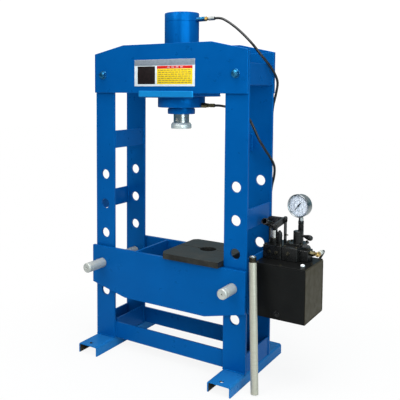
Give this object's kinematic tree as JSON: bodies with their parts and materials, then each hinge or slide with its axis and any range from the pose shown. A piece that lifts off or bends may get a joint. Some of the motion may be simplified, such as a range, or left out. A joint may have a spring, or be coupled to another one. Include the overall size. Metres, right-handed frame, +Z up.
{
  "type": "hydraulic shop press",
  "caption": "Floor-standing H-frame shop press: a hand pump drives a ram down onto split arbor plates on a bed held by loose pins.",
  "frame": {"origin": "centre of the footprint's bounding box at floor level, hoses left out", "axes": "+Z up, -Y the press's front, +X towards the pump and tank on the press's right leg"},
  "size_m": [1.0364, 0.528, 1.5725],
  "materials": {
    "frame_paint": "glossy blue enamel",
    "cylinder_paint": "glossy blue enamel over turned steel",
    "bright_steel": "bright turned steel",
    "pin_steel": "turned steel with a blue-grey cast",
    "arbor_steel": "dark oiled steel plate, ground on top",
    "tank_paint": "satin black paint",
    "pump_casting": "black oxide casting",
    "hose_rubber": "smooth black hose cover",
    "brass_fitting": "machined brass",
    "gauge_pointer": "matt black pointer",
    "label_sheet": "printed sheet, grey and white with a yellow panel",
    "cap_plastic": "white moulded plastic"
  },
  "bodies": {
    "frame": {"beam_front": "frame_paint", "beam_rear": "frame_paint", "beam_side_left": "frame_paint", "beam_side_right": "frame_paint", "bed_front": "frame_paint", "bed_rear": "frame_paint", "bed_rib_left": "frame_paint", "bed_rib_right": "frame_paint", "bolt_front_left": "frame_paint", "bolt_front_right": "frame_paint", "bolt_rear_left": "frame_paint", "bolt_rear_right": "frame_paint", "brace_mid_left": "frame_paint", "brace_mid_right": "frame_paint", "brace_upper_left": "frame_paint", "brace_upper_right": "frame_paint", "cheek_inner_left": "frame_paint", "cheek_inner_right": "frame_paint", "cheek_outer_left": "frame_paint", "cheek_outer_right": "frame_paint", "cylinder_barrel": "cylinder_paint", "cylinder_flange": "cylinder_paint", "cylinder_plate": "frame_paint", "foot_left": "frame_paint", "foot_right": "frame_paint", "gauge_case": "bright_steel", "gland_nut": "cylinder_paint", "label_plate": "label_sheet", "lever_bracket": "pump_casting", "lower_fitting": "bright_steel", "lower_hose": "hose_rubber", "port_elbow": "brass_fitting", "port_rear": "bright_steel", "pump_block": "pump_casting", "pump_bracket": "frame_paint", "rail_front": "frame_paint", "rail_rear": "frame_paint", "shelf_bar": "frame_paint", "tank": "tank_paint", "tank_lid": "tank_paint", "upper_fitting": "bright_steel", "upper_hose": "hose_rubber", "upright_front_left": "frame_paint", "upright_front_right": "frame_paint", "upright_rear_left": "frame_paint", "upright_rear_right": "frame_paint", "valve_block": "pump_casting", "valve_body": "pump_casting"},
    "ram": {"piston_rod": "bright_steel", "ram_head": "bright_steel"},
    "pin_left": {"support_pin_left": "pin_steel"},
    "pin_right": {"support_pin_right": "pin_steel"},
    "arbor_front": {"arbor_plate_front": "arbor_steel"},
    "arbor_rear": {"arbor_plate_rear": "arbor_steel"},
    "lever": {"pump_lever": "pump_casting"},
    "plunger": {"plunger": "bright_steel"},
    "valve": {"valve_lever": "pump_casting"},
    "needle": {"gauge_needle": "gauge_pointer"},
    "cap": {"filler_cap": "cap_plastic"},
    "handle": {"handle_tube": "bright_steel"}
  },
  "joints": [
    {"name": "ram_slide", "type": "slide", "parent": "frame", "child": "ram", "axis": [0, 0, -1], "range_m": [-0.03, 0.2]},
    {"name": "pin_left_slide", "type": "slide", "parent": "frame", "child": "pin_left", "axis": [0, -1, 0], "range_m": [0, 0.36]},
    {"name": "pin_right_slide", "type": "slide", "parent": "frame", "child": "pin_right", "axis": [0, -1, 0], "range_m": [0, 0.36]},
    {"name": "arbor_front_slide", "type": "slide", "parent": "frame", "child": "arbor_front", "axis": [-1, 0, 0], "range_m": [0, 0.27]},
    {"name": "arbor_rear_slide", "type": "slide", "parent": "frame", "child": "arbor_rear", "axis": [-1, 0, 0], "range_m": [0, 0.27]},
    {"name": "lever_pump", "type": "hinge", "parent": "frame", "child": "lever", "pos_m": [0.3193, 0.096, 0.668], "axis": [1, 0, 0], "range_deg": [-25, 20]},
    {"name": "plunger_slide", "type": "slide", "parent": "frame", "child": "plunger", "axis": [0, 0, -1], "range_m": [-0.0095, 0.0077]},
    {"name": "valve_turn", "type": "hinge", "parent": "frame", "child": "valve", "pos_m": [0.4158, 0.087, 0.616], "axis": [0, 0, 1], "range_deg": [-60, 20]},
    {"name": "needle_turn", "type": "hinge", "parent": "frame", "child": "needle", "pos_m": [0.4093, 0.091, 0.737], "axis": [0.1564, 0.9877, 0], "range_deg": [0, 270], "stiffness_Nm_per_rad": 0.01},
    {"name": "cap_turn", "type": "hinge", "parent": "frame", "child": "cap", "pos_m": [0.4758, -0.016, 0.5165], "axis": [0, 0, 1], "continuous": true},
    {"name": "handle_lift", "type": "slide", "parent": "frame", "child": "handle", "axis": [0, 0, 1], "range_m": [0, 0.3]}
  ],
  "couplings": [
    {"joint": "plunger_slide", "follows": "lever_pump", "m_per_rad": 0.021}
  ]
}
